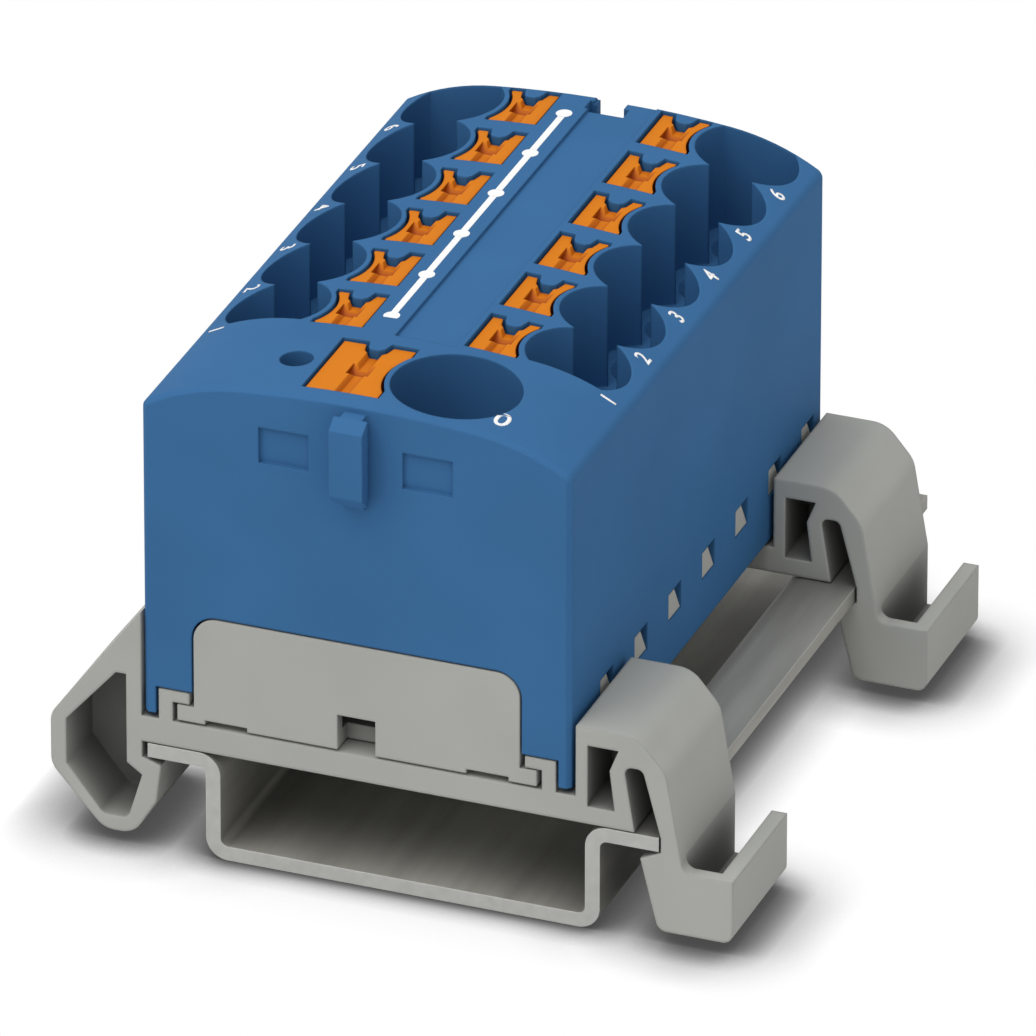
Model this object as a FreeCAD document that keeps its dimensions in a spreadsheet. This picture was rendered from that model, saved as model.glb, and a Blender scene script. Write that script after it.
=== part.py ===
import FreeCAD, Part
import math
import os

import Sketcher

# Power distribution block on a 35 mm top-hat rail: thirteen push-in terminals that share one
# busbar, in a one-piece moulded housing closed from below by a grey cover, on two rail feet.
#
# Frame: millimetres, X across the rail with zero on the rail's centre line, Y along the rail with
# zero at the housing's middle and the front at -Y, Z up with zero on the rail's underside. The
# housing and all in it are drawn about their own middle and placed beside the rail's centre line.

os.makedirs("parts", exist_ok=True)
doc = FreeCAD.newDocument("distribution_block")

# Driving dimensions
SIZES = [
    # Standard 35 mm rail, 7.5 mm high, of 1 mm sheet
    ("rail_width", 35.0),
    ("rail_height", 7.5),
    ("rail_sheet", 1.0),
    ("rail_channel", 27.0),
    ("rail_tail", 3.95),
    ("rail_bend", 0.5),
    # Housing
    ("bite", 0.1),
    ("block_width", 29.2),
    ("block_length", 46.1),
    ("block_shift", 3.1),
    ("block_bottom", 9.85),
    ("crest_height", 34.75),
    ("crest_radius", 80.0),
    ("crest_half", 8.2),
    ("shoulder_radius", 15.0),
    ("corner_round", 0.7),
    ("edge_bevel", 0.3),
    ("side_wall", 0.8),
    ("end_wall", 0.9),
    ("leg_top", 11.8),
    ("cavity_top", 17.3),
    ("chamber_top", 22.3),
    # Small entries, six on each side
    ("entry_count", 6),
    ("entry_pitch", 6.15),
    ("entry_offset", 10.25),
    ("entry_radius", 3.4),
    ("first_entry", 12.65),
    ("entry_flat", 2.35),
    ("entry_floor", 27.0),
    ("funnel_radius", 2.3),
    ("funnel_drop", 1.0),
    ("bore_radius", 1.75),
    ("chamber_inner", 3.3),
    ("chamber_width", 4.0),
    # Feed entry
    ("feed_offset", 5.0),
    ("feed_station", 4.85),
    ("feed_radius", 4.25),
    ("feed_floor", 26.5),
    ("feed_funnel", 4.0),
    ("feed_bore", 2.9),
    ("feed_chamber_width", 6.4),
    # Buttons
    ("button_inner", 3.65),
    ("button_outer", 6.85),
    ("button_length", 4.5),
    ("feed_button_inner", 3.95),
    ("feed_button_outer", 0.9),
    ("feed_button_length", 6.8),
    ("button_gap", 0.2),
    ("button_back", 0.1),
    ("stem_gap", 0.2),
    ("button_sink", 0.15),
    ("button_travel", 1.2),
    ("ring_wall", 0.35),
    ("key_width", 1.5),
    ("key_depth", 0.8),
    ("valley_width", 1.1),
    ("valley_depth", 0.35),
    ("dimple_width", 1.5),
    ("dimple_length", 1.6),
    ("dimple_depth", 0.65),
    ("catch_reach", 0.6),
    ("catch_height", 0.9),
    # Marks and small forms of the housing
    ("channel_left", 1.1),
    ("channel_right", 3.1),
    ("channel_start", 9.7),
    ("channel_depth", 0.25),
    ("test_radius", 1.1),
    ("test_offset", 5.9),
    ("test_depth", 6.0),
    ("pin_width", 2.3),
    ("pin_neck", 1.5),
    ("pin_reach", 1.75),
    ("pin_head", 1.0),
    ("pin_root", 0.4),
    ("pin_low", 27.35),
    ("pin_high", 34.05),
    ("pin_foot_run", 1.6),
    ("pin_foot_rise", 1.4),
    ("pin_top_run", 0.9),
    ("pin_top_rise", 0.6),
    ("slot_clear", 0.2),
    ("recess_inner", 3.2),
    ("recess_outer", 6.6),
    ("recess_low", 29.3),
    ("recess_high", 31.85),
    ("recess_depth", 0.3),
    ("window_width", 2.3),
    ("window_low", 13.05),
    ("window_high", 15.05),
    # Cover
    ("cover_bottom", 9.65),
    ("cover_floor", 1.1),
    ("cover_half", 12.3),
    ("plate_half", 11.15),
    ("plate_top", 17.34),
    ("plate_round", 1.6),
    ("plate_wall", 0.9),
    ("shelf_bottom", 11.95),
    ("flange_top", 15.6),
    ("flange_wall", 0.8),
    ("cover_gap", 0.15),
    ("notch_half", 1.3),
    ("notch_top", 12.15),
    ("notch_depth", 1.7),
    ("rib_wall", 1.0),
    ("rib_pitch", 10.0),
    ("rib_count", 5),
    ("relief_near", 7.5),
    ("relief_far", 10.4),
    ("relief_height", 0.3),
    ("relief_depth", 1.0),
    ("lug_reach", 0.9),
    ("lug_gap", 0.1),
    # Busbar and springs
    ("bar_bottom", 16.0),
    ("bar_sheet", 1.0),
    ("bar_half", 13.0),
    ("bar_top", 22.0),
    ("bar_bend", 0.5),
    ("spring_sheet", 0.4),
    ("spring_height", 3.5),
    ("spring_fold", 1.5),
    ("spring_drop", 1.6),
    ("spring_width", 2.9),
    ("feed_spring_width", 5.6),
    ("press_gap", 0.1),
    # Feet
    ("foot_inset", 0.05),
    ("foot_depth", 9.9),
    ("foot_wall", 0.95),
    ("foot_web", 0.9),
    ("seat_gap", 0.1),
    ("base_thick", 1.85),
    ("guide_inner", 11.5),
    ("guide_outer", 13.6),
    ("guide_top", 11.65),
    ("guide_lip", 0.8),
    # Hook of a foot, over the rail's left edge
    ("hook_play", 0.4),
    ("hook_reach", 0.9),
    ("hook_drop", 0.45),
    ("hook_face", 24.2),
    ("hook_top", 16.9),
    ("hook_shoulder", 8.4),
    ("hook_knee", 4.7),
    ("hook_low", 0.7),
    ("hook_low_left", 20.6),
    ("hook_low_right", 18.5),
    ("heel_across", 16.95),
    ("heel_height", 3.3),
    ("hook_round", 1.6),
    ("hook_shell", 1.05),
    ("hollow_top", 12.25),
    ("hollow_cap", 0.7),
    ("hollow_shoulder", 8.2),
    ("hollow_knee", 4.95),
    ("hollow_right", 18.9),
    ("hollow_step", 5.85),
    ("hollow_tip", 5.1),
    ("hollow_round", 0.6),
    # Latch of a foot, on the rail's right edge
    ("latch_play", 0.15),
    ("latch_reach", 1.25),
    ("latch_drop", 0.65),
    ("latch_low", 0.8),
    ("latch_out", 22.55),
    ("latch_round", 0.7),
    ("lip_top", 5.25),
    ("tool_left", 19.0),
    ("tool_right", 21.5),
    ("tool_floor", 1.7),
    ("box_left", 11.85),
    ("box_top", 14.5),
    ("box_flat", 16.0),
    ("arm_bend", 17.95),
    ("arm_height", 12.2),
    ("arm_out", 19.15),
    ("arm_round", 2.0),
    ("slot_foot", 15.85),
    ("slot_left", 15.1),
    ("slot_right", 16.4),
    ("slot_top", 12.2),
    ("slot_round", 0.5),
    ("cell_left", 12.65),
    ("cell_right", 14.5),
    ("cell_waist", 14.15),
    ("cell_beak", 14.75),
    ("cell_low", 8.85),
    ("cell_middle", 11.7),
    ("cell_high", 13.25),
]


class Length:
    """A size that knows its number now and its formula over the sheet."""

    def __init__(self, number, formula):
        self.number = number
        self.formula = formula

    def joined(self, other, sign, number):
        return Length(number, f"({self.formula} {sign} {as_length(other).formula})")

    def __add__(self, other):
        return self.joined(other, "+", self.number + as_length(other).number)

    def __sub__(self, other):
        return self.joined(other, "-", self.number - as_length(other).number)

    def __mul__(self, other):
        return self.joined(other, "*", self.number * as_length(other).number)

    def __truediv__(self, other):
        return self.joined(other, "/", self.number / as_length(other).number)

    def __neg__(self):
        return Length(-self.number, f"(-1 * {self.formula})")


def as_length(value):
    return value if isinstance(value, Length) else Length(float(value), str(float(value)))


def root(value):
    return Length(math.sqrt(value.number), f"sqrt({value.formula})")


def chord_height(radius, half):
    """How far an arc's middle stands from its chord's line, seen from the arc's centre."""
    return root(radius * radius - half * half)


def make_sheet():
    sheet = doc.addObject("Spreadsheet::Sheet", "Sizes")
    for row, (name, value) in enumerate(SIZES, start=1):
        sheet.set(f"A{row}", name)
        sheet.set(f"B{row}", str(value))
        sheet.setAlias(f"B{row}", name)
    doc.recompute()
    return {name: Length(float(getattr(sheet, name)), f"Sizes.{name}") for name, value in SIZES}


size = make_sheet()
zero = Length(0.0, "0")
front = size["block_length"] * -0.5
rear = size["block_length"] / 2
side = size["block_width"] / 2
pitch = size["entry_pitch"]
first_row = front + size["first_entry"]
feed_row = front + size["feed_station"]


def new_body(name, shift=zero):
    body = doc.addObject("PartDesign::Body", name)
    body.Label = name
    body.setExpression("Placement.Base.x", shift.formula)
    return body


def plane_of(body, role):
    return next(item for item in body.Origin.OriginFeatures if item.Role == role)


def new_sketch(body, plane, across=zero, up=zero, along=zero):
    """A sketch on one of the body's own planes, moved within it and along its normal."""
    sketch = body.newObject("Sketcher::SketchObject", "Outline")
    sketch.AttachmentSupport = [(plane_of(body, f"{plane}_Plane"), "")]
    sketch.MapMode = "FlatFace"
    for axis, length in (("x", across), ("y", up), ("z", along)):
        if length.number or "Sizes" in length.formula:
            sketch.setExpression(f"AttachmentOffset.Base.{axis}", length.formula)
    return sketch


def hold(sketch, kind, places, length):
    """Adds one measured constraint and ties it to its formula."""
    index = sketch.addConstraint(Sketcher.Constraint(kind, *places, length.number))
    if "Sizes" in length.formula:
        sketch.setExpression(f"Constraints[{index}]", length.formula)


def draw(sketch, corners):
    """A closed outline. A corner is (across, up), or (across, up, radius) where an arc runs on to
    the next corner, counter-clockwise for a positive radius and clockwise for a negative one."""
    count = len(corners)
    spots = [FreeCAD.Vector(corner[0].number, corner[1].number, 0) for corner in corners]
    for index, corner in enumerate(corners):
        here, there = spots[index], spots[(index + 1) % count]
        if len(corner) == 2:
            sketch.addGeometry(Part.LineSegment(here, there))
            continue
        radius = abs(corner[2].number)
        chord = there - here
        turn = 1 if corner[2].number > 0 else -1
        left = FreeCAD.Vector(-chord.y, chord.x, 0).normalize() * turn
        rise = math.sqrt(max(radius**2 - (chord.Length / 2) ** 2, 0))
        centre = (here + there) / 2 + left * rise
        circle = Part.Circle(centre, FreeCAD.Vector(0, 0, 1), radius)
        ends = (here, there) if turn > 0 else (there, here)
        angles = [math.atan2(end.y - centre.y, end.x - centre.x) for end in ends]
        if angles[1] <= angles[0]:
            angles[1] += 2 * math.pi
        sketch.addGeometry(Part.ArcOfCircle(circle, *angles))
    for index, corner in enumerate(corners):
        clockwise = len(corner) == 3 and corner[2].number < 0
        start, end = (2, 1) if clockwise else (1, 2)
        following = corners[(index + 1) % count]
        next_start = 2 if len(following) == 3 and following[2].number < 0 else 1
        joint = ("Coincident", index, end, (index + 1) % count, next_start)
        sketch.addConstraint(Sketcher.Constraint(*joint))
        hold(sketch, "DistanceX", (-1, 1, index, start), corner[0])
        hold(sketch, "DistanceY", (-1, 1, index, start), corner[1])
        if len(corner) == 3:
            hold(sketch, "Radius", (index,), -corner[2] if clockwise else corner[2])


def box_corners(left, low, right, high):
    return [(left, low), (right, low), (right, high), (left, high)]


def circle(sketch, across, up, radius):
    centre = FreeCAD.Vector(across.number, up.number, 0)
    index = sketch.addGeometry(Part.Circle(centre, FreeCAD.Vector(0, 0, 1), radius.number))
    hold(sketch, "DistanceX", (-1, 1, index, 3), across)
    hold(sketch, "DistanceY", (-1, 1, index, 3), up)
    hold(sketch, "Radius", (index,), radius)


# The side of a slab on which its sketch lies: a pad grows along the plane's normal and a pocket
# against it, and the XZ plane's normal points to -Y.
def slab(body, kind, plane, outline, low, high):
    """Pads or pockets outlines between two places along the plane's normal axis."""
    grows_up = (kind == "Pad") != (plane == "XZ")
    at = low if grows_up else high
    sketch = new_sketch(body, plane, along=-at if plane == "XZ" else at)
    if isinstance(outline, tuple):
        circle(sketch, *outline)
    else:
        draw(sketch, outline)
    before = body.Shape.Volume if kind == "Pocket" else 0
    feature = body.newObject(f"PartDesign::{kind}", kind)
    feature.Profile = sketch
    feature.setExpression("Length", (high - low).formula)
    feature.Length = (high - low).number
    doc.recompute()
    if kind == "Pocket" and not body.Shape.Volume < before - 1e-6:
        raise RuntimeError(f"{body.Label}: a pocket cut nothing")
    return feature


def turned(body, kind, profile, across, along):
    """Revolves an outline on the XZ plane about an upright line through (across, along)."""
    sketch = new_sketch(body, "XZ", across=across, along=-along)
    draw(sketch, profile)
    feature = body.newObject(f"PartDesign::{kind}", kind)
    feature.Profile = sketch
    feature.ReferenceAxis = (sketch, ["V_Axis"])
    feature.Angle = 360
    doc.recompute()
    return feature


def repeated(body, features, count=None, step=None, mirrored=False):
    """Copies features along Y, across the body's YZ plane, or both."""
    many = body.newObject("PartDesign::MultiTransform", "Copies")
    many.Originals = features
    steps = []
    if count is not None:
        line = body.newObject("PartDesign::LinearPattern", "Row")
        line.Direction = (plane_of(body, "Y_Axis"), [""])
        line.setExpression("Length", (step * (count - 1)).formula)
        line.setExpression("Occurrences", count.formula)
        steps.append(line)
    if mirrored:
        mirror = body.newObject("PartDesign::Mirrored", "OtherSide")
        mirror.MirrorPlane = (plane_of(body, "YZ_Plane"), [""])
        steps.append(mirror)
    many.Transformations = steps
    body.Tip = many
    doc.recompute()
    return many


def trimmed(body, kind, measure, length, chosen):
    """Fillets or chamfers the edges of the body's present shape that a test picks."""
    edges = [f"Edge{n}" for n, edge in enumerate(body.Shape.Edges, start=1) if chosen(edge)]
    base = body.Tip
    feature = body.newObject(f"PartDesign::{kind}", kind)
    feature.Base = (base, edges)
    feature.setExpression(measure, length.formula)
    doc.recompute()
    return feature


def rounded(body, length, places):
    """Fillets the edges along Y that stand at the given places of a section."""
    def chosen(edge):
        middle = edge.CenterOfMass
        return edge.BoundBox.YLength > 1 and any(
            abs(middle.x - across.number) < 1e-3 and abs(middle.z - up.number) < 1e-3
            for across, up in places)

    trimmed(body, "Fillet", "Radius", length, chosen)


def crown_height(half):
    """The housing's height over the rail's underside, within the crest's arc."""
    drop = size["crest_radius"] - chord_height(size["crest_radius"], half)
    return size["crest_height"] - drop


# Housing

def crown_outline():
    """Cross-section: a flat crest arc and a tighter shoulder arc that leaves it smoothly."""
    crest, shoulder, half = size["crest_radius"], size["shoulder_radius"], size["crest_half"]
    joint_height = crown_height(half)
    centre_across = half * (crest - shoulder) / crest
    centre_height = joint_height - shoulder * chord_height(crest, half) / crest
    corner_height = centre_height + chord_height(shoulder, side - centre_across)
    bottom = size["block_bottom"]
    return [
        (-side, bottom),
        (side, bottom),
        (side, corner_height, shoulder),
        (half, joint_height, crest),
        (-half, joint_height, shoulder),
        (-side, corner_height),
    ]


def entry_row_outline():
    """The six entries of one side as one opening: circles that run into each other."""
    radius, centre = size["entry_radius"], size["entry_offset"]
    half_neck = chord_height(radius, pitch / 2)
    half_flat = chord_height(radius, size["entry_flat"])
    count = int(size["entry_count"].number)
    last_row = first_row + pitch * (size["entry_count"] - 1)
    outer = [(centre + half_flat, first_row - size["entry_flat"], radius)]
    inner = [(centre - half_flat, last_row + size["entry_flat"], radius)]
    for index in range(count - 1):
        outer.append((centre + half_neck, first_row + pitch * (index + 0.5), radius))
        inner.append((centre - half_neck, last_row - pitch * (index + 0.5), radius))
    outer.append((centre + half_flat, last_row + size["entry_flat"]))
    inner.append((centre - half_flat, first_row - size["entry_flat"]))
    return outer + inner


def button_outline(inner, outer, half_length, row, entry, radius, grow=zero):
    """A push button from above: square, with a hollow side that follows the entry's ring wall
    and a notch in its rear edge for the housing's key. grow widens it into its shaft."""
    arc = radius + size["ring_wall"] + size["button_gap"] - grow
    low, high = row - half_length - grow, row + half_length + grow
    left, right = inner - grow, outer + grow
    meet = root(arc * arc - (entry - right) * (entry - right))
    middle = (inner + outer) / 2
    notch, depth = size["key_width"] / 2 - grow, size["key_depth"]
    return [
        (left, low),
        (right, low),
        (right, row - meet, -arc),
        (right, row + meet),
        (right, high),
        (middle + notch + size["button_gap"], high),
        (middle + notch, high - depth),
        (middle + notch / 2, high - depth - notch / 2),
        (middle - notch / 2, high - depth - notch / 2),
        (middle - notch, high - depth),
        (middle - notch - size["button_gap"], high),
        (left, high),
    ]


def make_housing():
    body = new_body("housing", -size["block_shift"])
    top = size["crest_height"] + 1
    slab(body, "Pad", "XZ", crown_outline(), front, rear)
    low = size["block_bottom"].number
    reach = size["crest_half"].number
    middle = -size["block_shift"].number
    trimmed(body, "Fillet", "Radius", size["corner_round"], lambda edge: edge.BoundBox.YLength > 1
            and edge.BoundBox.ZMin > low + 1 and abs(edge.CenterOfMass.x - middle) > reach + 1)
    trimmed(body, "Chamfer", "Size", size["edge_bevel"], lambda edge: edge.BoundBox.YLength < 1e-6
            and edge.BoundBox.ZMax > low + 1)

    wall = side - size["side_wall"]
    inside = rear - size["end_wall"]
    plate = size["plate_half"] + size["cover_gap"]
    plate_top = size["plate_top"] + size["cover_gap"]
    plate_round = size["plate_round"] + size["cover_gap"]
    bottom = size["block_bottom"] - 1
    slab(body, "Pocket", "XZ", box_corners(-wall, bottom, wall, size["leg_top"]), front, rear)
    slab(body, "Pocket", "XZ", arch_corners(plate, bottom, plate_top, plate_round), front, rear)
    slab(body, "Pocket", "XY", box_corners(-wall, -inside, wall, inside), bottom, size["cavity_top"])

    # Marker channel and test hole
    channel = box_corners(-size["channel_left"], front + size["channel_start"],
                          size["channel_right"], rear + 1)
    slab(body, "Pocket", "XY", channel, size["crest_height"] - size["channel_depth"], top)
    test = (-size["test_offset"], feed_row, size["test_radius"])
    slab(body, "Pocket", "XY", test, size["crest_height"] - size["test_depth"], top)

    # Slot in the rear face for the next block's pin, and the pin on the front face
    clear = size["slot_clear"]
    slot = pin_outline(rear, size["pin_width"] / 2 + clear, size["pin_neck"] / 2 + clear,
                       size["pin_head"] + clear, size["pin_reach"] + clear)
    slab(body, "Pocket", "XY", slot, size["pin_low"] - clear, top)
    pin = pin_outline(front, size["pin_width"] / 2, size["pin_neck"] / 2, size["pin_head"],
                      size["pin_reach"])
    slab(body, "Pad", "XY", pin, size["pin_low"], size["pin_high"])
    tip = front - size["pin_reach"]
    reach = size["pin_width"] / 2 + size["bite"]
    slab(body, "Pocket", "YZ", wedge(tip, size["pin_low"], size["pin_foot_run"],
                                     size["pin_foot_rise"], -size["bite"]), -reach, reach)
    slab(body, "Pocket", "YZ", wedge(tip, size["pin_high"], size["pin_top_run"],
                                     -size["pin_top_rise"], size["bite"]), -reach, reach)

    # Shallow recesses beside the pin, and the windows for the cover's lugs
    recess = box_corners(size["recess_inner"], size["recess_low"],
                         size["recess_outer"], size["recess_high"])
    cut = slab(body, "Pocket", "XZ", recess, front, front + size["recess_depth"])
    repeated(body, [cut], mirrored=True)
    half = size["window_width"] / 2
    row = first_row - pitch
    window = box_corners(row - half, size["window_low"], row + half, size["window_high"])
    cut = slab(body, "Pocket", "YZ", window, wall - size["bite"], side)
    repeated(body, [cut], size["entry_count"] + 1, pitch, mirrored=True)

    # Clamp chambers and the slots for the busbar's sides, open from below
    low, high = size["cavity_top"] - size["bite"], size["chamber_top"]
    slot_inner = size["bar_half"] - size["bar_sheet"] - size["cover_gap"]
    slot_outer = size["bar_half"] + size["cover_gap"]
    half = size["chamber_width"] / 2
    chamber = box_corners(size["chamber_inner"], first_row - half, slot_outer, first_row + half)
    cut = slab(body, "Pocket", "XY", chamber, low, high)
    repeated(body, [cut], size["entry_count"], pitch, mirrored=True)
    slot = box_corners(slot_inner, first_row - pitch / 2, slot_outer, inside)
    cut = slab(body, "Pocket", "XY", slot, low, high)
    repeated(body, [cut], mirrored=True)
    half = size["feed_chamber_width"] / 2
    feed_left = -size["feed_button_inner"] - size["button_gap"] - size["bite"]
    feed_right = size["feed_offset"] + size["feed_radius"] + size["cover_gap"]
    feed = box_corners(feed_left, feed_row - half, feed_right, feed_row + half)
    slab(body, "Pocket", "XY", feed, low, high)

    # Conductor entries, their funnels and the bores to the chambers
    cut = slab(body, "Pocket", "XY", entry_row_outline(), size["entry_floor"], top)
    repeated(body, [cut], mirrored=True)
    cut = turned(body, "Groove", funnel("entry_floor", "funnel_radius", "bore_radius"),
                 size["entry_offset"], first_row)
    repeated(body, [cut], size["entry_count"], pitch, mirrored=True)
    middle = size["feed_offset"]
    slab(body, "Pocket", "XY", (middle, feed_row, size["feed_radius"]), size["feed_floor"], top)
    turned(body, "Groove", funnel("feed_floor", "feed_funnel", "feed_bore"), middle, feed_row)

    # Button shafts
    low = size["chamber_top"] - size["bite"]
    shaft = button_outline(size["button_inner"], size["button_outer"], size["button_length"] / 2,
                           first_row - size["button_back"], size["entry_offset"],
                           size["entry_radius"], size["button_gap"])
    cut = slab(body, "Pocket", "XY", shaft, low, top)
    repeated(body, [cut], size["entry_count"], pitch, mirrored=True)
    shaft = button_outline(-size["feed_button_inner"], size["feed_button_outer"],
                           size["feed_button_length"] / 2, feed_row, size["feed_offset"],
                           size["feed_radius"], size["button_gap"])
    slab(body, "Pocket", "XY", shaft, low, top)
    return body


def arch_corners(half, low, high, radius):
    """An upright outline with its two upper corners rounded."""
    return [
        (-half, low),
        (half, low),
        (half, high - radius, radius),
        (half - radius, high),
        (radius - half, high, radius),
        (-half, high - radius),
    ]


def funnel(floor, wide, narrow):
    """Half section of a lead-in cone and the bore below it, down to the clamp chamber."""
    neck = size[floor] - size["funnel_drop"]
    low = size["chamber_top"] - size["bite"]
    return [
        (zero, low),
        (size[narrow], low),
        (size[narrow], neck),
        (size[wide], size[floor]),
        (size[wide], size[floor] + size["bite"]),
        (zero, size[floor] + size["bite"]),
    ]


def wedge(tip, end, run, rise, over):
    """What comes off one end of the pin, so that its tip slopes back to the face."""
    before = tip - size["bite"]
    return [
        (before, end + over),
        (tip + run, end + over),
        (tip + run, end),
        (tip, end + rise),
        (before, end + rise),
    ]


def pin_outline(face, half_head, half_neck, head, reach):
    """A T seen from above that points to the front, its foot a little behind a face."""
    root_line = face + size["pin_root"]
    neck_line = face - reach + head
    tip = face - reach
    return [
        (-half_neck, root_line),
        (-half_neck, neck_line),
        (-half_head, neck_line),
        (-half_head, tip),
        (half_head, tip),
        (half_head, neck_line),
        (half_neck, neck_line),
        (half_neck, root_line),
    ]


# Cover that closes the housing from below

def make_cover():
    body = new_body("base_cover", -size["block_shift"])
    bottom = size["cover_bottom"]
    floor = bottom + size["cover_floor"]
    plate = size["plate_half"]
    shelf_low = size["shelf_bottom"]
    shelf_high = shelf_low + size["flange_wall"]
    inside = rear - size["end_wall"] - size["cover_gap"]
    outer = side - size["side_wall"] - size["cover_gap"]
    section = [
        (-size["cover_half"], bottom),
        (size["cover_half"], bottom),
        (size["cover_half"], floor),
        (plate, floor),
        (plate, shelf_high),
        (-plate, shelf_high),
        (-plate, floor),
        (-size["cover_half"], floor),
    ]
    slab(body, "Pad", "XZ", section, front, rear)
    slab(body, "Pad", "XZ", box_corners(-outer, shelf_low, outer, shelf_high), -inside, inside)
    flange = box_corners(outer - size["flange_wall"], shelf_high - size["bite"], outer,
                         size["flange_top"])
    cut = slab(body, "Pad", "XZ", flange, -inside, inside)
    repeated(body, [cut], mirrored=True)

    hollow = plate - size["plate_wall"]
    ends = rear - size["plate_wall"]
    bite = size["bite"]
    slab(body, "Pocket", "XY", box_corners(-hollow, -ends, hollow, ends), floor, shelf_high + bite)
    wall = arch_corners(plate, floor - bite, size["plate_top"], size["plate_round"])
    slab(body, "Pad", "XZ", wall, front, front + size["plate_wall"])
    slab(body, "Pad", "XZ", wall, rear - size["plate_wall"], rear)

    # Ribs that carry the busbar
    half = size["rib_wall"] / 2
    start = size["rib_pitch"] * (size["rib_count"] - 1) / -2
    rib = box_corners(-hollow - bite, floor - bite, hollow + bite, size["bar_bottom"])
    cut = slab(body, "Pad", "XZ", rib, start - half, start + half)
    repeated(body, [cut], size["rib_count"], size["rib_pitch"])

    # Notch and shallow reliefs in each end, and the snap lugs that show in the housing's windows
    notch = box_corners(-size["notch_half"], bottom - 1, size["notch_half"], size["notch_top"])
    depth = size["notch_depth"]
    slab(body, "Pocket", "XZ", notch, front, front + depth)
    slab(body, "Pocket", "XZ", notch, rear - depth, rear)
    relief = box_corners(size["relief_near"], bottom - 1, size["relief_far"],
                         bottom + size["relief_height"])
    depth = size["relief_depth"]
    cuts = [slab(body, "Pocket", "XZ", relief, front, front + depth),
            slab(body, "Pocket", "XZ", relief, rear - depth, rear)]
    repeated(body, cuts, mirrored=True)
    half = size["window_width"] / 2 - size["lug_gap"]
    row = first_row - pitch
    low, high = size["window_low"] + size["lug_gap"], size["window_high"] - size["lug_gap"]
    lug = [(row - half, low), (row + half, low), (row, high), (row - half, high)]
    pad = slab(body, "Pad", "YZ", lug, outer - bite, outer + size["lug_reach"])
    repeated(body, [pad], size["entry_count"] + 1, pitch, mirrored=True)
    return body


# Busbar that joins all thirteen terminals

def make_busbar():
    """A channel of bent copper sheet under both rows, with a tongue and a tab for the feed."""
    body = new_body("busbar", -size["block_shift"])
    low, sheet, high = size["bar_bottom"], size["bar_sheet"], size["bar_bottom"] + size["bar_sheet"]
    half, top = size["bar_half"], size["bar_top"]
    bend = size["bar_bend"]
    wide = bend + sheet
    start = first_row - pitch / 2 + size["cover_gap"]
    end = rear - size["end_wall"] - size["cover_gap"] * 2
    section = [
        (wide - half, low),
        (half - wide, low, wide),
        (half, low + wide),
        (half, top),
        (half - sheet, top),
        (half - sheet, high + bend, -bend),
        (half - wide, high),
        (wide - half, high, -bend),
        (sheet - half, high + bend),
        (sheet - half, top),
        (-half, top),
        (-half, low + wide, wide),
    ]
    slab(body, "Pad", "XZ", section, start, end)
    tongue_right = size["feed_offset"] + size["feed_radius"]
    tongue = box_corners(-size["feed_button_inner"], -end, tongue_right, start + sheet)
    slab(body, "Pad", "XY", tongue, low, high)
    half_tab = size["feed_spring_width"] / 2
    tab = box_corners(tongue_right - sheet, feed_row - half_tab, tongue_right, feed_row + half_tab)
    slab(body, "Pad", "XY", tab, high - sheet / 2, top)
    return body


# Clamp springs

def make_spring(name, way, press_start, press_end, tip, row, width):
    """A folded strip on the busbar: a lower leg, a fold, a flat that the button presses and a
    leg that slants down to the contact wall. way is 1 for the right side, -1 for the left."""
    body = new_body(name, -size["block_shift"])
    low = size["bar_bottom"] + size["bar_sheet"]
    high = low + size["spring_height"]
    sheet = size["spring_sheet"]
    fold = press_start + size["spring_fold"]
    bend = size["spring_fold"] / 2
    drop = size["spring_drop"]
    foot_end = tip - sheet * 2
    outline = [
        (foot_end, low),
        (foot_end, low + sheet),
        (fold, low + sheet),
        (press_start + sheet, low + bend + sheet),
        (press_start + sheet, high - bend - sheet),
        (fold, high - sheet),
        (press_end, high - sheet),
        (tip, high - sheet - drop),
        (tip, high - drop),
        (press_end, high),
        (fold, high),
        (press_start, high - bend),
        (press_start, low + bend),
        (fold, low),
    ]
    if way < 0:
        outline = mirrored_corners(outline)
    half = width / 2
    slab(body, "Pad", "XZ", outline, row - half, row + half)
    return body


def mirrored_corners(corners):
    return [(-corner[0], corner[1]) + tuple(-radius for radius in corner[2:]) for corner in corners]


# Push buttons

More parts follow.
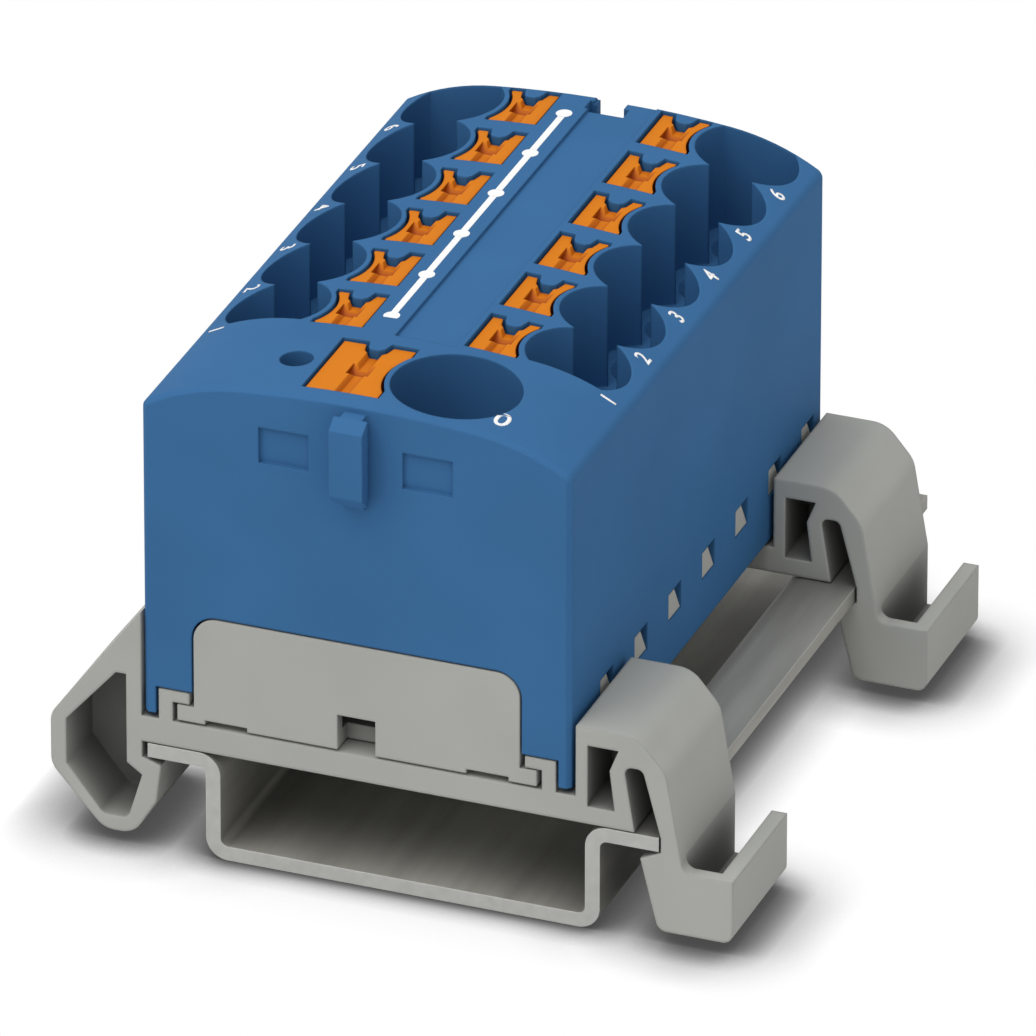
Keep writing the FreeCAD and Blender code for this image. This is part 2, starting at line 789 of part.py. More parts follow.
def make_button(name, way, inner, outer, length, row, entry, radius, chamber, back):
    """A push button: a head that fills its shaft and a narrower stem in the clamp chamber. Its
    catch holds it under the chamber's roof, and its shoulder stops on the chamber's edge."""
    body = new_body(name, -size["block_shift"])
    low = size["bar_bottom"] + size["bar_sheet"] + size["spring_height"] + size["press_gap"]
    top = size["crest_height"]
    stem_half = size[chamber] / 2 - size["stem_gap"]
    stem_outer = entry - radius - size["ring_wall"] - size["stem_gap"]
    shoulder = size["chamber_top"] + size["button_travel"] + size["press_gap"]
    low_row, row = row, row - back
    stem_rear = row + length / 2 - size["key_depth"] - size["button_gap"]
    stem = box_corners(inner, low_row - stem_half, stem_outer, stem_rear)
    catch_half = stem_rear - row
    outline = button_outline(inner, outer, length / 2, row, entry, radius)
    middle = (inner + outer) / 2
    slope = [
        (inner - 1, crown_height(inner) - size["button_sink"]),
        (outer + 1, crown_height(outer) - size["button_sink"]),
        (outer + 1, top + 1),
        (inner - 1, top + 1),
    ]
    half_valley = size["valley_width"] / 2
    crown = crown_height(middle) - size["button_sink"]
    valley = [
        (middle - half_valley / 2, crown - size["valley_depth"]),
        (middle + half_valley / 2, crown - size["valley_depth"]),
        (middle + half_valley * 1.5, crown + size["valley_depth"]),
        (middle - half_valley * 1.5, crown + size["valley_depth"]),
    ]
    dimple = [
        (row, crown - size["dimple_depth"]),
        (row + size["dimple_length"], crown + size["dimple_depth"]),
        (row - size["dimple_length"], crown + size["dimple_depth"]),
    ]
    catch_top = size["chamber_top"] - size["press_gap"]
    catch = [
        (middle, catch_top - size["catch_height"]),
        (stem_outer, catch_top - size["catch_height"]),
        (outer + size["catch_reach"], catch_top - size["catch_height"] / 2),
        (outer + size["catch_reach"], catch_top),
        (middle, catch_top),
    ]
    drawn = (outline, stem, slope, valley, catch)
    if way < 0:
        drawn = map(mirrored_corners, drawn)
        middle = -middle
    outline, stem, slope, valley, catch = drawn
    slab(body, "Pad", "XY", outline, shoulder, top)
    slab(body, "Pad", "XY", stem, low, shoulder + size["bite"])
    half = length / 2
    slab(body, "Pad", "XZ", catch, row - catch_half, row + catch_half)
    slab(body, "Pocket", "XZ", slope, row - half - 1, row + half + 1)
    slab(body, "Pocket", "XZ", valley, row - half - 1, row + half + 1)
    reach = size["dimple_width"] / 2
    slab(body, "Pocket", "YZ", dimple, middle - reach, middle + reach)
    return body


# Rail feet

half_rail = size["rail_width"] / 2
rail_seat = size["rail_height"] + size["seat_gap"]
base_top = rail_seat + size["base_thick"]
flange_low = size["rail_height"] - size["rail_sheet"] - size["seat_gap"] / 2
hook_wall = -half_rail - size["hook_play"]


def base_outline():
    """Section of the base plate on the rail, with the two guides for the cover's edges."""
    left_in = -size["block_shift"] - size["guide_inner"]
    left_out = -size["block_shift"] - size["guide_outer"]
    right_in = size["guide_inner"] - size["block_shift"]
    right_out = size["guide_outer"] - size["block_shift"]
    left_web, right_web = left_out + size["foot_wall"], right_out - size["foot_wall"]
    top, lip_low = size["guide_top"], size["guide_top"] - size["guide_lip"]
    left_end, right_end = hook_wall - size["bite"], size["box_left"] + size["bite"]
    return [
        (left_end, rail_seat),
        (right_end, rail_seat),
        (right_end, base_top),
        (right_out, base_top),
        (right_out, top),
        (right_in, top),
        (right_in, lip_low),
        (right_web, lip_low),
        (right_web, base_top),
        (left_web, base_top),
        (left_web, lip_low),
        (left_in, lip_low),
        (left_in, top),
        (left_out, top),
        (left_out, base_top),
        (left_end, base_top),
    ]


def hook_outline():
    return [
        (hook_wall, size["hook_top"]),
        (-size["hook_face"], size["hook_shoulder"]),
        (-size["hook_face"], size["hook_knee"]),
        (-size["hook_low_left"], size["hook_low"]),
        (-size["hook_low_right"], size["hook_low"]),
        (-size["heel_across"], size["heel_height"]),
        (size["hook_reach"] - half_rail, flange_low - size["hook_drop"]),
        (hook_wall, flange_low),
    ]


def hook_hollow():
    shell = size["hook_shell"]
    return [
        (hook_wall - shell, size["hollow_top"]),
        (hook_wall - shell - size["hollow_cap"], size["hollow_top"]),
        (shell - size["hook_face"], size["hollow_shoulder"]),
        (shell - size["hook_face"], size["hollow_knee"]),
        (-size["hook_low_left"], size["hook_low"] + shell),
        (-size["hollow_right"], size["hook_low"] + shell),
        (hook_wall, size["hollow_tip"]),
        (hook_wall - shell, size["hollow_step"]),
    ]


def latch_outline():
    """Section of the box and, past a slot that opens at the rail's edge, the arm with its catch
    under the rail and its lip for a screwdriver."""
    latch_in = half_rail + size["latch_play"]
    return [
        (size["box_left"], rail_seat),
        (size["slot_foot"], rail_seat),
        (size["slot_left"], size["slot_top"]),
        (size["slot_right"], size["slot_top"]),
        (latch_in, size["rail_height"]),
        (latch_in, flange_low),
        (half_rail - size["latch_reach"], flange_low - size["latch_drop"]),
        (half_rail, size["latch_low"]),
        (size["latch_out"], size["latch_low"]),
        (size["latch_out"], size["lip_top"]),
        (size["arm_out"], size["lip_top"]),
        (size["arm_bend"], size["arm_height"]),
        (size["box_flat"], size["box_top"]),
        (size["box_left"], size["box_top"]),
    ]


def box_cell():
    return [
        (size["cell_left"], size["cell_low"]),
        (size["cell_right"], size["cell_low"]),
        (size["cell_waist"], size["cell_middle"]),
        (size["cell_beak"], size["cell_high"]),
        (size["cell_left"], size["cell_high"]),
    ]


def make_foot(name, start):
    """A foot: its hook and box are hollowed from both faces as far as a web in the middle."""
    body = new_body(name)
    end = start + size["foot_depth"]
    slab(body, "Pad", "XZ", base_outline(), start, end)
    hook, latch = hook_outline(), latch_outline()
    slab(body, "Pad", "XZ", hook, start, end)
    slab(body, "Pad", "XZ", latch, start, end)
    rounded(body, size["hook_round"], hook[1:5])
    rounded(body, size["slot_round"], latch[2:4])
    rounded(body, size["latch_round"], [latch[7], latch[8], latch[10]])
    rounded(body, size["arm_round"], latch[11:13])
    depth = (size["foot_depth"] - size["foot_web"]) / 2
    hollow = hook_hollow()
    for outline in (hollow, box_cell()):
        slab(body, "Pocket", "XZ", outline, start, start + depth)
        slab(body, "Pocket", "XZ", outline, end - depth, end)
    rounded(body, size["hollow_round"], hollow[4:6])
    tool = box_corners(size["tool_left"], start + size["foot_wall"], size["tool_right"], end + 1)
    slab(body, "Pocket", "XY", tool, size["tool_floor"], size["rail_height"])
    return body


# Rail

def make_rail():
    body = new_body("mounting_rail")
    half, sheet, high = half_rail, size["rail_sheet"], size["rail_height"]
    outer = size["rail_channel"] / 2
    inner = outer - sheet
    bend = size["rail_bend"]
    wide = bend + sheet
    section = [
        (wide - outer, zero),
        (outer - wide, zero, wide),
        (outer, wide),
        (outer, high - sheet - bend, -bend),
        (outer + bend, high - sheet),
        (half, high - sheet),
        (half, high),
        (inner + wide, high, wide),
        (inner, high - wide),
        (inner, sheet + bend, -bend),
        (inner - bend, sheet),
        (bend - inner, sheet, -bend),
        (-inner, sheet + bend),
        (-inner, high - wide, wide),
        (-inner - wide, high),
        (-half, high),
        (-half, high - sheet),
        (-outer - bend, high - sheet, -bend),
        (-outer, high - sheet - bend),
        (-outer, wide, wide),
    ]
    slab(body, "Pad", "XZ", section, front + size["foot_inset"], rear + size["rail_tail"])
    return body


def make_all():
    pieces = [make_housing(), make_cover(), make_busbar(), make_rail()]
    pieces.append(make_foot("foot_front", front + size["foot_inset"]))
    pieces.append(make_foot("foot_rear", rear - size["foot_inset"] - size["foot_depth"]))
    contact = size["bar_half"] - size["bar_sheet"] - size["cover_gap"]
    for index in range(int(size["entry_count"].number)):
        row = first_row + pitch * index
        for side_name, way in (("left", -1), ("right", 1)):
            number = index + 1
            pieces.append(make_button(f"button_{side_name}_{number}", way, size["button_inner"],
                                      size["button_outer"], size["button_length"], row,
                                      size["entry_offset"], size["entry_radius"],
                                      "chamber_width", size["button_back"]))
            pieces.append(make_spring(f"spring_{side_name}_{number}", way,
                                      size["chamber_inner"] + size["cover_gap"],
                                      size["button_outer"] + size["button_gap"], contact, row,
                                      size["spring_width"]))
    pieces.append(make_button("button_feed", 1, -size["feed_button_inner"],
                              size["feed_button_outer"], size["feed_button_length"], feed_row,
                              size["feed_offset"], size["feed_radius"], "feed_chamber_width", zero))
    feed_contact = size["feed_offset"] + size["feed_radius"] - size["bar_sheet"]
    pieces.append(make_spring("spring_feed", 1, -size["feed_button_inner"],
                              size["feed_button_outer"] + size["button_gap"],
                              feed_contact - size["cover_gap"], feed_row,
                              size["feed_spring_width"]))
    return pieces


pieces = make_all()
doc.recompute()

for item in doc.Objects:
    if "Invalid" in item.State or "Error" in item.State:
        raise RuntimeError(f"{item.Name} failed: {item.State}")
for piece in pieces:
    shape = piece.Shape
    if shape.isNull() or not shape.isValid() or len(shape.Solids) != 1:
        raise RuntimeError(f"{piece.Label} is not one valid solid")
    print(piece.Label, round(shape.Volume, 2))
for piece in pieces:
    piece.Shape.exportStep(f"parts/{piece.Label}.step")
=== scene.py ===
import math

import bmesh
import bpy
from mathutils import Matrix, Vector


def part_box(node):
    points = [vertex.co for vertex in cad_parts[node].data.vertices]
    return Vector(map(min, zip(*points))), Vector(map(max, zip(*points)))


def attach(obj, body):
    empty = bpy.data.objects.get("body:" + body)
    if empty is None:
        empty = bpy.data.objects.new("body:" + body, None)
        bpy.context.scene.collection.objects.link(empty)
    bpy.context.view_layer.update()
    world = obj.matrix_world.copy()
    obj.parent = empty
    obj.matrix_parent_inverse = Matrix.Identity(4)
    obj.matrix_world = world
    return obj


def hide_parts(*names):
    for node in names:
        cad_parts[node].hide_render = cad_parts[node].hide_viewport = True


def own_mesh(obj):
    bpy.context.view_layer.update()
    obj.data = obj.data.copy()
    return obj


# Lengths are in millimetres where nothing else is said, and the frame is in metres
MM = 0.001

# Camera: it looks at AIM from a long way off through a long lens
AIM = Vector((2.43, -8.75, 20.59)) * MM
CAMERA_AZIMUTH = math.radians(21.02)
CAMERA_ELEVATION = math.radians(27.93)
CAMERA_ROLL = math.radians(0.07)
CAMERA_DISTANCE = 1206 * MM
LENS = 654.4
SENSOR = 36.0

# The nearest and farthest that the camera sees, in metres
CLIP = (0.05, 20.0)

# Printed marks, measured across from the housing's middle and back from its front
ENTRY_COUNT = 6
ENTRY_PITCH = 6.15
FIRST_ENTRY = 12.65
LINE_OFFSET = -2.3
LINE_WIDTH = 0.46
FIRST_DOT = 12.2
FIRST_DOT_CUT = 0.3
DOT_RADIUS = 0.54
DOT_CORNERS = 32
DIGIT_HEIGHT = 1.05
DIGIT_OFFSET = 13.45
DIGIT_BEFORE_ENTRY = 2.85
FEED_DIGIT_HEIGHT = 1.6
FEED_DIGIT = (9.1, 2.2)

# How the print lies: its thickness, and the film of air that keeps it off the plastic
PRINT_THICK = 0.03
PRINT_LIFT = 0.006

# The line starts inside each dot, at this share of the dot's radius
LINE_START = 0.9

# A digit's height as a share of its font size, the swelling of its strokes as a share of
# its height, and the distance under which its corners are joined
DIGIT_IN_FONT = 0.72
DIGIT_WEIGHT = 0.02
DIGIT_WELD = 0.005

# How far above the housing the search for its top surface starts
SEARCH_ABOVE = 5.0

# The floor: its half width in metres, its depth under the rail, and its share of light
# thrown back
FLOOR_HALF = 2.5
FLOOR_DEPTH = 0.05
FLOOR_PAPER = 0.82

# The floor's soft shadow: a tight one and a wide one, each with its reach and its strength
SHADOWS = ((2.6, 2.4), (5.6, 2.3))
SHADOW_DARKEST = 0.07

# Light: an even one from all round, and one large lamp, placed and sized in metres
ROOM_LIGHT = 0.505
LAMP_PLACE = (-0.25, -0.45, 1.3)
LAMP_SIZE = 1.6
LAMP_POWER = 14.2

# Colours in linear light
BLUE = (0.0495, 0.157, 0.342)
# Painted highlight: the paler colour laid along the blue part's edges
BLUE_EDGE_HIGHLIGHT = (0.060, 0.190, 0.400)
LIGHT_GREY = (0.438, 0.443, 0.412)
# Painted highlight: the paler colour laid along the grey parts' edges
LIGHT_GREY_EDGE_HIGHLIGHT = (0.52, 0.52, 0.49)
ORANGE = (0.74, 0.215, 0.004)
# Painted shade: the deep red-orange laid down in the buttons' hollows
ORANGE_PAINTED_SHADE = (0.30, 0.035, 0.002)
WHITE_INK = (1.0, 1.0, 1.0)
ZINC = (0.460, 0.452, 0.410)
ZINC_DARK = (0.330, 0.323, 0.293)
# Painted highlight: the pale colour laid along the rail's edges
ZINC_EDGE_HIGHLIGHT = (0.78, 0.78, 0.75)
SAWN = (0.52, 0.52, 0.49)
SAWN_DARK = (0.46, 0.46, 0.435)
COPPER = (0.70, 0.36, 0.22)
SPRING_METAL = (0.60, 0.60, 0.58)

# How alike the rounded and the flat normal are where an edge mask starts and where it is full
EDGE_START = 0.99
EDGE_FULL = 0.80

# How squarely a face must look along an axis to count as facing it
FACING_LEAST = 0.9

# How many rays judge an edge, a hollow and the floor's shadow
EDGE_SAMPLES = 6
HOLLOW_SAMPLES = 8
SHADOW_SAMPLES = 16

# The sockets of Blender's mix node that hold its two colours and the mixed one
MIX_FIRST = 6
MIX_SECOND = 7
MIX_RESULT = 2


# Materials

class Shader:
    """A material with one principled shader and short ways to add nodes to it."""

    def __init__(self, name, **sockets):
        self.material = bpy.data.materials.new(name)
        self.material.use_nodes = True
        self.tree = self.material.node_tree
        self.shader = self.tree.nodes["Principled BSDF"]
        for socket, value in sockets.items():
            self.shader.inputs[socket.replace("_", " ")].default_value = value
        self.place = self.add("ShaderNodeTexCoord").outputs["Object"]

    def add(self, kind, **settings):
        node = self.tree.nodes.new(kind)
        for name, value in settings.items():
            setattr(node, name, value)
        return node

    def link(self, source, target):
        self.tree.links.new(source, target)

    def noise(self, size_mm, detail=2.0, stretch=None):
        """Noise whose patches are about size_mm across, as a value from 0 to 1."""
        node = self.add("ShaderNodeTexNoise")
        node.inputs["Scale"].default_value = 1 / (size_mm * MM)
        node.inputs["Detail"].default_value = detail
        self.link(self.stretched(stretch) if stretch else self.place, node.inputs["Vector"])
        return node.outputs["Fac"]

    def stretched(self, stretch):
        mapping = self.add("ShaderNodeMapping")
        mapping.inputs["Scale"].default_value = stretch
        self.link(self.place, mapping.inputs["Vector"])
        return mapping.outputs["Vector"]

    def ramp(self, value, low, high, low_place=0.3, high_place=0.7):
        """Turns a value into a colour between low and high."""
        node = self.add("ShaderNodeValToRGB")
        first, last = node.color_ramp.elements
        first.position, last.position = low_place, high_place
        first.color, last.color = (*low, 1), (*high, 1)
        self.link(value, node.inputs["Fac"])
        return node.outputs["Color"]

    def patches(self, colour, size_mm, darkest, palest):
        """Soft patches of one colour, from darkest to palest times itself."""
        value = self.noise(size_mm)
        return self.ramp(value, shade(colour, darkest), shade(colour, palest))

    def spread(self, value, low, high):
        """Turns a value from 0 to 1 into one from low to high."""
        node = self.add("ShaderNodeMapRange")
        node.inputs["To Min"].default_value = low
        node.inputs["To Max"].default_value = high
        self.link(value, node.inputs["Value"])
        return node.outputs["Result"]

    def mixed(self, value, first, second):
        node = self.add("ShaderNodeMix", data_type="RGBA")
        self.link(value, node.inputs["Factor"])
        self.link(first, node.inputs[MIX_FIRST])
        self.link(second, node.inputs[MIX_SECOND])
        return node.outputs[MIX_RESULT]

    def openness(self, reach_mm, **settings):
        """A value from 0 in tight hollows to 1 in the open, judged within reach_mm."""
        node = self.add("ShaderNodeAmbientOcclusion", samples=HOLLOW_SAMPLES, **settings)
        node.inputs["Distance"].default_value = reach_mm * MM
        return node.outputs["AO"]

    def darkened(self, colour, openness, darkest, low_place, high_place):
        """Paints shade: darkens a colour down to darkest times itself where openness is low."""
        share = self.ramp(openness, (darkest,) * 3, (1.0,) * 3, low_place, high_place)
        node = self.add("ShaderNodeVectorMath", operation="MULTIPLY")
        self.link(colour, node.inputs[0])
        self.link(share, node.inputs[1])
        return node.outputs["Vector"]

    def soft_edges(self, radius_mm):
        """Normals that round every edge a little, and a mask that is 1 along those edges."""
        bevel = self.add("ShaderNodeBevel", samples=EDGE_SAMPLES)
        bevel.inputs["Radius"].default_value = radius_mm * MM
        flat = self.add("ShaderNodeNewGeometry")
        likeness = self.add("ShaderNodeVectorMath", operation="DOT_PRODUCT")
        self.link(bevel.outputs["Normal"], likeness.inputs[0])
        self.link(flat.outputs["True Normal"], likeness.inputs[1])
        mask = self.add("ShaderNodeMapRange")
        mask.inputs["From Min"].default_value = EDGE_START
        mask.inputs["From Max"].default_value = EDGE_FULL
        self.link(likeness.outputs["Value"], mask.inputs["Value"])
        return bevel.outputs["Normal"], mask.outputs["Result"]

    def facing(self, axis):
        """A mask that is 1 on flat faces across one axis of the part (0 to 2 is X to Z)."""
        face = self.add("ShaderNodeNewGeometry")
        turned = self.add("ShaderNodeVectorTransform", vector_type="NORMAL",
                          convert_from="WORLD", convert_to="OBJECT")
        parts = self.add("ShaderNodeSeparateXYZ")
        size = self.add("ShaderNodeMath", operation="ABSOLUTE")
        mask = self.add("ShaderNodeMath", operation="GREATER_THAN")
        mask.inputs[1].default_value = FACING_LEAST
        self.link(face.outputs["True Normal"], turned.inputs["Vector"])
        self.link(turned.outputs["Vector"], parts.inputs["Vector"])
        self.link(parts.outputs[axis], size.inputs[0])
        self.link(size.outputs["Value"], mask.inputs[0])
        return mask.outputs["Value"]

    def colour(self, source):
        self.link(source, self.shader.inputs["Base Color"])

    def metallic(self, source):
        self.link(source, self.shader.inputs["Metallic"])

    def roughness(self, source):
        self.link(source, self.shader.inputs["Roughness"])

    def bump(self, height, strength, depth_mm, normal):
        node = self.add("ShaderNodeBump")
        node.inputs["Strength"].default_value = strength
        node.inputs["Distance"].default_value = depth_mm * MM
        self.link(height, node.inputs["Height"])
        self.link(normal, node.inputs["Normal"])
        self.link(node.outputs["Normal"], self.shader.inputs["Normal"])


def shade(colour, factor):
    return tuple(channel * factor for channel in colour)


def moulded_plastic(name, colour, edge_highlight_colour, edge_mm, roughness, hollow_mm=0.0):
    """Moulded plastic: fine grain, faint flow patches, painted edge highlights and hollow
    shade.
    """
    made = Shader(name, Specular_IOR_Level=0.01)
    normal, edges = made.soft_edges(edge_mm)
    body = made.patches(colour, size_mm=9.0, darkest=0.96, palest=1.04)
    edge = made.patches(edge_highlight_colour, size_mm=1.5, darkest=0.94, palest=1.04)
    # Painted highlight: the edges are mixed towards the paler edge colour
    colour_with_painted_light = made.mixed(made.spread(edges, 0.0, 0.6), body, edge)
    # Painted shade: the colour darkens in the part's own hollows
    if hollow_mm:
        openness = made.openness(hollow_mm, only_local=True)
        colour_with_painted_light = made.darkened(colour_with_painted_light, openness, darkest=0.42, low_place=0.35, high_place=0.9)
    made.colour(colour_with_painted_light)
    made.roughness(made.spread(made.noise(3.0, detail=4.0), *roughness))
    made.bump(made.noise(0.16, detail=3.0), strength=0.22, depth_mm=0.02, normal=normal)
    return made.material


def button_plastic():
    """Orange plastic with deeper, redder painted shade in hollows, painted highlights on edges.
    """
    made = Shader("button_orange", Specular_IOR_Level=0.1)
    normal, edges = made.soft_edges(0.12)
    openness = made.openness(1.1)
    # Painted shade: the orange turns deeper and redder where its hollows close in
    body = made.ramp(openness, ORANGE_PAINTED_SHADE, ORANGE, low_place=0.45, high_place=0.97)
    pale = made.patches(ORANGE, size_mm=0.8, darkest=1.0, palest=1.15)
    # Painted highlight: the edges mix towards a paler orange
    made.colour(made.mixed(made.spread(edges, 0.0, 0.5), body, pale))
    made.roughness(made.spread(made.noise(1.2, detail=3.0), 0.34, 0.46))
    made.bump(made.noise(0.14, detail=3.0), strength=0.2, depth_mm=0.02, normal=normal)
    return made.material


def zinc_steel():
    """Zinc-plated steel: painted shade under the block, soft streaks along it, pale sawn ends.
    """
    made = Shader("rail_zinc")
    normal, edges = made.soft_edges(0.12)
    streaks = made.noise(2.0, detail=3.0, stretch=(1.0, 0.10, 1.0))
    rolled = made.ramp(streaks, ZINC_DARK, ZINC)
    # Painted shade: the rolled faces darken where the block above and the rail's own walls
    # close in
    rolled = made.darkened(rolled, made.openness(9.0), darkest=0.4, low_place=0.25,
                           high_place=0.8)
    # Painted highlight: a pale colour along the edges
    zinc_edge_highlight = made.patches(ZINC_EDGE_HIGHLIGHT, size_mm=1.0, darkest=0.9, palest=1.0)
    sawn = made.ramp(made.noise(0.8, detail=4.0), SAWN_DARK, SAWN)
    end = made.facing(1)
    body = made.mixed(end, rolled, sawn)
    made.colour(made.mixed(made.spread(edges, 0.0, 0.8), body, zinc_edge_highlight))
    made.metallic(made.spread(end, 0.25, 0.1))
    rolling = made.noise(0.5, detail=4.0, stretch=(1.0, 0.04, 1.0))
    made.roughness(made.spread(rolling, 0.46, 0.58))
    made.bump(rolling, strength=0.08, depth_mm=0.01, normal=normal)
    return made.material


def bright_metal(name, colour, roughness):
    """Bare strip metal: a fine grain along it and faint patches."""
    made = Shader(name, Metallic=1.0)
    normal, _ = made.soft_edges(0.1)
    grain = made.noise(0.4, detail=4.0, stretch=(1.0, 0.06, 1.0))
    made.colour(made.patches(colour, size_mm=2.5, darkest=0.9, palest=1.0))
    made.roughness(made.spread(grain, *roughness))
    made.bump(grain, strength=0.12, depth_mm=0.01, normal=normal)
    return made.material


def ink():
    """Matt white print, a little greyer where it is thin."""
    made = Shader("white_ink", Specular_IOR_Level=0.3)
    cover = made.noise(0.35, detail=3.0)
    made.colour(made.ramp(cover, shade(WHITE_INK, 0.90), WHITE_INK, 0.2, 0.5))
    made.roughness(made.spread(cover, 0.5, 0.65))
    return made.material


def dress_nodes(frame):
    """Gives every CAD node its finish, chosen by the start of its name."""
    finishes = {
        "base_cover": moulded_plastic("cover_grey", LIGHT_GREY, LIGHT_GREY_EDGE_HIGHLIGHT, edge_mm=0.2,
                                      roughness=(0.42, 0.56), hollow_mm=3.0),
        "housing": moulded_plastic("housing_blue", BLUE, BLUE_EDGE_HIGHLIGHT, edge_mm=0.2,
                                   roughness=(0.38, 0.50)),
        "foot": moulded_plastic("foot_grey", LIGHT_GREY, LIGHT_GREY_EDGE_HIGHLIGHT, edge_mm=0.3,
                                roughness=(0.45, 0.60), hollow_mm=5.0),
        "button": button_plastic(),
        "mounting_rail": zinc_steel(),
        "busbar": bright_metal("busbar_copper", COPPER, roughness=(0.25, 0.4)),
        "spring": bright_metal("spring_metal", SPRING_METAL, roughness=(0.22, 0.36)),
    }
    for name, node in frame["nodes"].items():
        start = next(key for key in finishes if name.startswith(key))
        node.data.materials.clear()
        node.data.materials.append(finishes[start])


# Clamp springs

def folding_springs(frame):
    """Each clamp spring as a copy with a mesh of its own, carried by the block in its place."""
    for name in [node for node in frame["nodes"] if node.startswith("spring")]:
        piece = bpy.data.objects.new(f"clamp_{name}", frame["nodes"][name].data.copy())
        bpy.context.scene.collection.objects.link(piece)
        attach(piece, "block")
        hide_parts(name)
        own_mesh(piece)


# Printed marks

class Marks:
    """White print on the housing's top, placed from its middle line and its front."""

    def __init__(self, housing, material):
        low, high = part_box("housing")
        self.housing = housing
        self.material = material
        self.middle = (low[0] + high[0]) / 2
        # The origin is halfway along the housing. A pin stands out in front, so the front
        # face is found from the rear one.
        self.front = -high[1]
        self.above = high[2] + SEARCH_ABOVE * MM

    def surface(self, across, along):
        """The height of the housing's top surface over a place, all in metres."""
        start = Vector((across, along, self.above))
        hit, place, _, _ = self.housing.ray_cast(start, Vector((0, 0, -1)))
        if not hit:
            raise RuntimeError(f"no housing under ({across:.4f}, {along:.4f})")
        return place.z

    def add_face(self, mesh, outline):
        corners = [mesh.verts.new((self.middle + across * MM, self.front + along * MM, 0))
                   for across, along in outline]
        mesh.faces.new(corners)

    def add_piece(self, name, mesh):
        """Lays a flat mesh on the curved top, gives it the thickness of ink and keeps it."""
        for vertex in mesh.verts:
            vertex.co.z = self.surface(vertex.co.x, vertex.co.y) + PRINT_LIFT * MM
        raised = bmesh.ops.extrude_face_region(mesh, geom=mesh.faces[:])
        for item in raised["geom"]:
            if isinstance(item, bmesh.types.BMVert):
                item.co.z += PRINT_THICK * MM
        bmesh.ops.recalc_face_normals(mesh, faces=mesh.faces[:])
        data = bpy.data.meshes.new(name)
        mesh.to_mesh(data)
        mesh.free()
        data.materials.append(self.material)
        piece = bpy.data.objects.new(name, data)
        bpy.context.scene.collection.objects.link(piece)
        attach(piece, "block")

    def add_line(self):
        """The white line along the crest that says the terminals are joined, a dot at each."""
        rows = [FIRST_DOT + ENTRY_PITCH * index for index in range(ENTRY_COUNT)]
        left, right = LINE_OFFSET - LINE_WIDTH / 2, LINE_OFFSET + LINE_WIDTH / 2
        mesh = bmesh.new()
        for row, next_row in zip(rows, rows[1:]):
            low = row + DOT_RADIUS * LINE_START
            high = next_row - DOT_RADIUS * LINE_START
            self.add_face(mesh, [(left, low), (right, low), (right, high), (left, high)])
        self.add_piece("joining_line", mesh)
        for index, row in enumerate(rows):
            cut = FIRST_DOT_CUT if index == 0 else DOT_RADIUS
            mesh = bmesh.new()
            self.add_face(mesh, dot_outline(LINE_OFFSET, row, DOT_RADIUS, cut))
            self.add_piece(f"joining_dot_{index + 1}", mesh)

    def add_digit(self, name, text, across, along, height, turn=0.0):
        """One plain digit around a middle point, turned about it."""
        mesh = digit_mesh(text, height)
        place = Matrix.Translation((self.middle + across * MM, self.front + along * MM, 0))
        mesh.transform(place @ Matrix.Rotation(turn, 4, "Z"))
        self.add_piece(name, mesh)

    def add_digits(self):
        """Each entry's number near the edge, to be read from that side, and one at the feed."""
        for side, way in (("left", -1), ("right", 1)):
            for index in range(ENTRY_COUNT):
                row = FIRST_ENTRY + ENTRY_PITCH * index - DIGIT_BEFORE_ENTRY
                self.add_digit(f"number_{side}_{index + 1}", str(index + 1),
                               DIGIT_OFFSET * way, row, DIGIT_HEIGHT, math.pi / 2 * way)
        self.add_digit("number_feed", "0", *FEED_DIGIT, FEED_DIGIT_HEIGHT)


def dot_outline(across, along, radius, front_cut):
    """A disc, cut straight on its front side where front_cut is less than its radius."""
    points = []
    for index in range(DOT_CORNERS):
        angle = 2 * math.pi * index / DOT_CORNERS
        back = max(math.sin(angle) * radius, -front_cut)
        points.append((across + math.cos(angle) * radius, along + back))
    return points


def digit_mesh(text, height):
    """A digit as a flat mesh around the origin."""
    curve = bpy.data.curves.new("digit", "FONT")
    curve.body = text
    curve.align_x = "CENTER"
    curve.align_y = "CENTER"
    curve.size = height * MM / DIGIT_IN_FONT
    curve.offset = DIGIT_WEIGHT * height * MM
    curve.resolution_u = 4
    holder = bpy.data.objects.new("digit", curve)
    bpy.context.scene.collection.objects.link(holder)
    bpy.context.view_layer.update()
    flat = bpy.data.meshes.new_from_object(holder)
    mesh = bmesh.new()
    mesh.from_mesh(flat)
    bpy.data.objects.remove(holder)
    bpy.data.curves.remove(curve)
    bpy.data.meshes.remove(flat)
    bmesh.ops.remove_doubles(mesh, verts=mesh.verts[:], dist=DIGIT_WELD * MM)
    return mesh


# Camera, floor and light

def make_camera():
    """A camera that orbits AIM: azimuth turns it from the front to the right, elevation up."""
    azimuth, elevation = CAMERA_AZIMUTH, CAMERA_ELEVATION
    forward = Vector((-math.sin(azimuth) * math.cos(elevation),
                      math.cos(azimuth) * math.cos(elevation), -math.sin(elevation)))
    right = Vector((math.cos(azimuth), math.sin(azimuth), 0))
    up = right.cross(forward)
    turned = Matrix((right, up, -forward)).transposed().to_4x4()
    data = bpy.data.cameras.new("photo_camera")
    data.lens = LENS
    data.sensor_width = SENSOR
    data.sensor_fit = "HORIZONTAL"
    data.clip_start, data.clip_end = CLIP
    camera = bpy.data.objects.new("photo_camera", data)
    place = Matrix.Translation(AIM - forward * CAMERA_DISTANCE)
    camera.matrix_world = place @ turned @ Matrix.Rotation(CAMERA_ROLL, 4, "Z")
    bpy.context.scene.collection.objects.link(camera)
    bpy.context.scene.camera = camera


